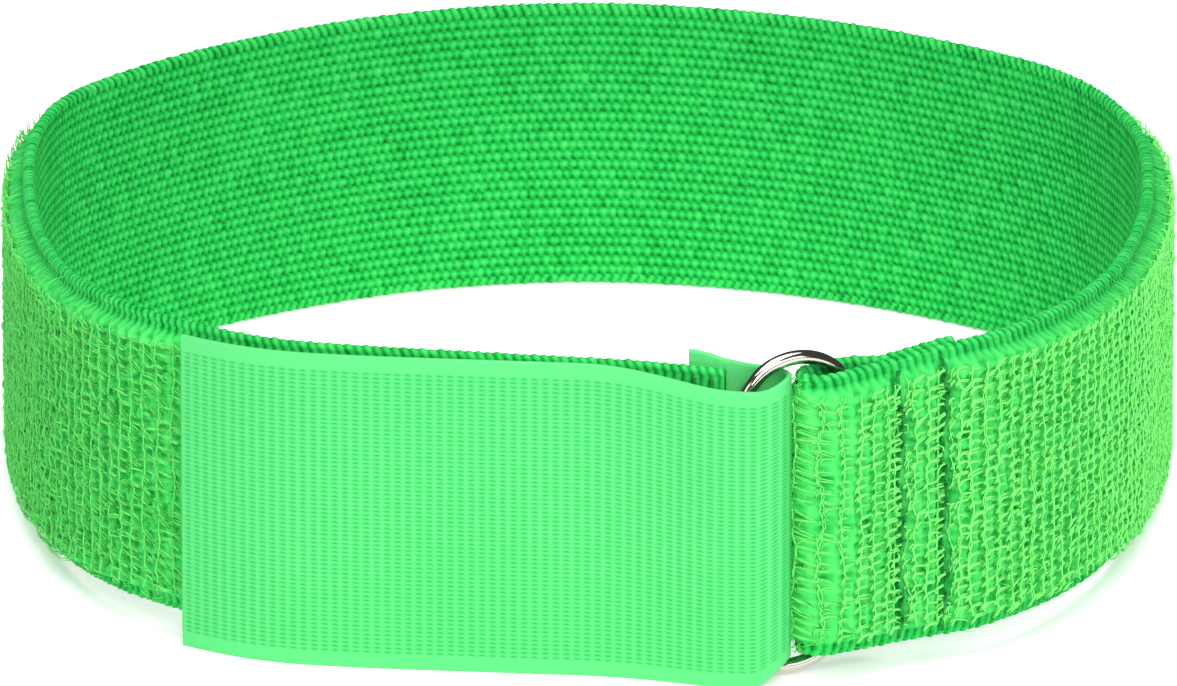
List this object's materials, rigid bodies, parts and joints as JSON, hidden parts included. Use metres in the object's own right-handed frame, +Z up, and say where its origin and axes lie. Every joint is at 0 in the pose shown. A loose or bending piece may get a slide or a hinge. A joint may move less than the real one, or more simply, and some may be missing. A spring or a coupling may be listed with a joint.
{
  "type": "elastic hook-and-loop ring strap",
  "caption": "Wide elastic strap closed into a loop: a hook tape passes through an oval metal ring and folds back onto the loop pile of the elastic.",
  "frame": {"origin": "on the table, under the middle of the strap's outline", "axes": "+Z up along the strap's width, -Y towards the ring and the loose flap, +X to the right as seen from the flap's side"},
  "size_m": [0.1814, 0.1938, 0.052],
  "materials": {
    "elastic": "knitted elastic, matte, neon green",
    "pile": "fuzzy loop pile, matte, neon green",
    "tape": "smooth woven nylon tape, slight sheen, neon green",
    "hooks": "nylon monofilament hooks, yellowish green",
    "thread": "polyester sewing thread, green",
    "ring_metal": "polished nickel plate"
  },
  "bodies": {
    "strap": {"elastic_band": "elastic", "outer_pile": "pile", "tail_pile": "pile", "hook_tape_anchor": "tape", "ring_seam_1_needle_thread": "thread", "ring_seam_1_bobbin_thread": "thread", "tape_seam_1_needle_thread": "thread", "tape_seam_1_bobbin_thread": "thread", "ring_seam_2_needle_thread": "thread", "ring_seam_2_bobbin_thread": "thread", "tape_seam_2_needle_thread": "thread", "tape_seam_2_bobbin_thread": "thread"},
    "ring": {"ring": "ring_metal"},
    "flap_root": {"flap_root_tape": "tape", "flap_root_hooks": "hooks"},
    "flap_middle": {"flap_middle_tape": "tape", "flap_middle_hooks": "hooks"},
    "flap_tip": {"flap_tip_tape": "tape", "flap_tip_hooks": "hooks"}
  },
  "joints": [
    {"name": "ring_swivel", "type": "hinge", "parent": "strap", "child": "ring", "pos_m": [0.03965, -0.08755, 0.026], "axis": [0, 0, 1], "range_deg": [-4, 0.5]},
    {"name": "flap_root_peel", "type": "hinge", "parent": "strap", "child": "flap_root", "pos_m": [0.014, -0.09492, 0.025], "axis": [0, 0, 1], "range_deg": [0, 110]},
    {"name": "flap_middle_peel", "type": "hinge", "parent": "flap_root", "child": "flap_middle", "pos_m": [-0.0115, -0.09035, 0.025], "axis": [0, 0, 1], "range_deg": [0, 60]},
    {"name": "flap_tip_peel", "type": "hinge", "parent": "flap_middle", "child": "flap_tip", "pos_m": [-0.03744, -0.08745, 0.025], "axis": [0, 0, 1], "range_deg": [0, 60]}
  ]
}
